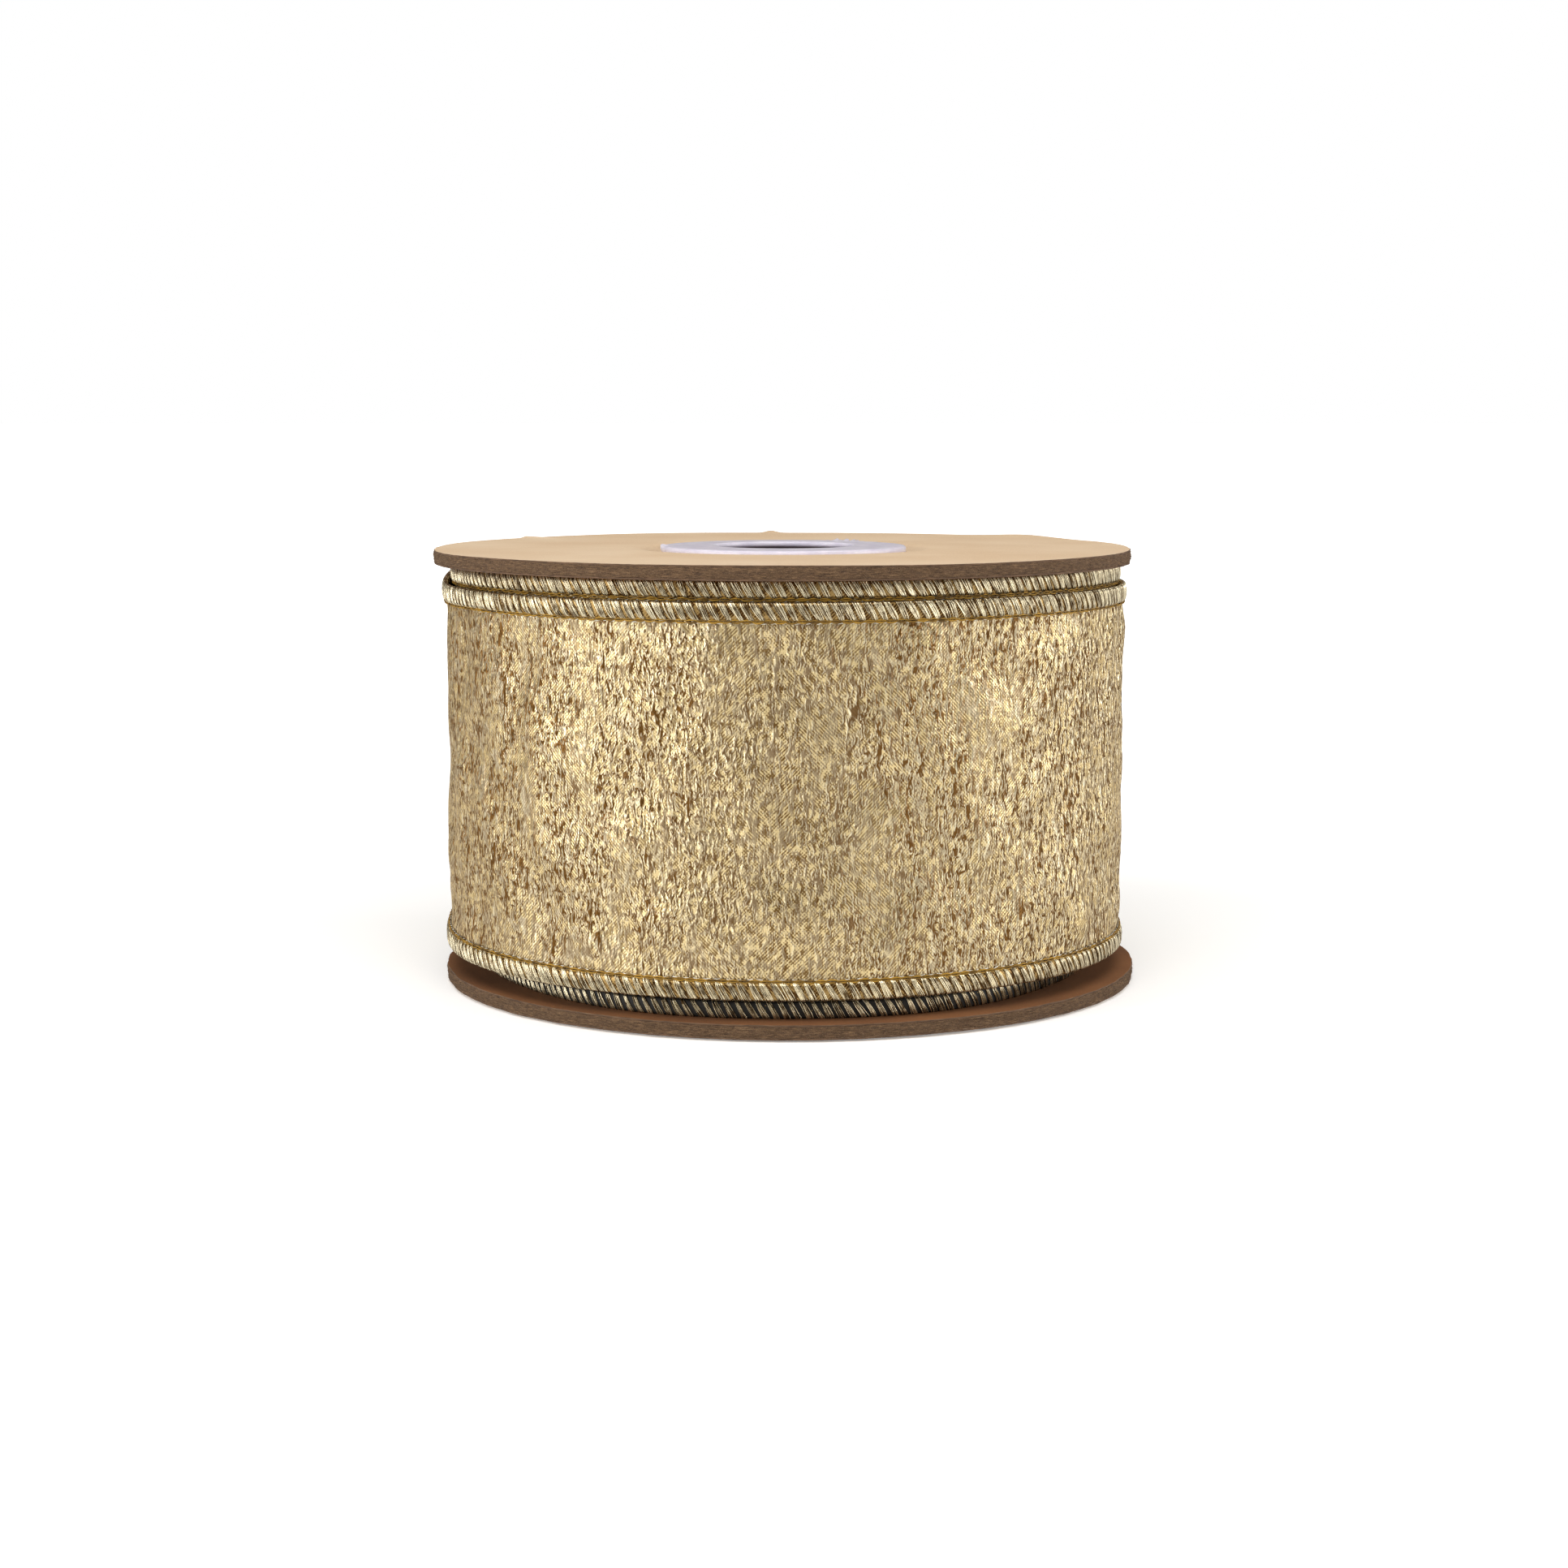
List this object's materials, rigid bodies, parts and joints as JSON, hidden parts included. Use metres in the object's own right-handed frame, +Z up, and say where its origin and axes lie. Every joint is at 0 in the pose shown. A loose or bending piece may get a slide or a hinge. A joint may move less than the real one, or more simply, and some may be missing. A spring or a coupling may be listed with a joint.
{
  "type": "ribbon spool",
  "caption": "Spool of wired metallic ribbon: gold cloth with whip-stitched wire hems, wound on a paperboard core between two cardboard flanges with a plastic hub.",
  "frame": {"origin": "centre of the lower hub rim's face, on the spool's axis, which the spool stands on", "axes": "+Z up along the spool's axis, -Y towards the front of the ribbon, +Y towards its loose end"},
  "size_m": [0.122, 0.122, 0.0763],
  "materials": {
    "kraft_liner": "matte kraft paper",
    "chipboard": "raw grey-brown chipboard",
    "core_paperboard": "matte paperboard",
    "hub_plastic": "translucent, lightly frosted",
    "gold_lame": "crinkled metallic gold weave",
    "edge_wire": "annealed wire",
    "overlock_thread": "silvery gold lurex thread",
    "chain_thread": "ochre thread",
    "clear_tape": "clear gloss tape",
    "starter_tape": "paper tape"
  },
  "bodies": {
    "spool": {"lower_flange_outer_liner": "kraft_liner", "lower_flange_board": "chipboard", "lower_flange_inner_liner": "kraft_liner", "upper_flange_outer_liner": "kraft_liner", "upper_flange_board": "chipboard", "upper_flange_inner_liner": "kraft_liner", "core_tube": "core_paperboard", "lower_hub": "hub_plastic", "upper_hub": "hub_plastic", "ribbon_fabric": "gold_lame", "ribbon_upper_wire": "edge_wire", "ribbon_upper_overlock": "overlock_thread", "ribbon_upper_chain_stitch": "chain_thread", "ribbon_lower_wire": "edge_wire", "ribbon_lower_overlock": "overlock_thread", "ribbon_lower_chain_stitch": "chain_thread", "core_start_tape": "starter_tape"},
    "ribbon_tail": {"tail_fabric": "gold_lame", "tail_upper_wire": "edge_wire", "tail_upper_overlock": "overlock_thread", "tail_upper_chain_stitch": "chain_thread", "tail_lower_wire": "edge_wire", "tail_lower_overlock": "overlock_thread", "tail_lower_chain_stitch": "chain_thread", "end_tape": "clear_tape"}
  },
  "joints": [
    {"name": "tail_lift", "type": "hinge", "parent": "spool", "child": "ribbon_tail", "pos_m": [0.02244, 0.05623, 0.03825], "axis": [0, 0, -1], "range_deg": [0, 70]}
  ]
}
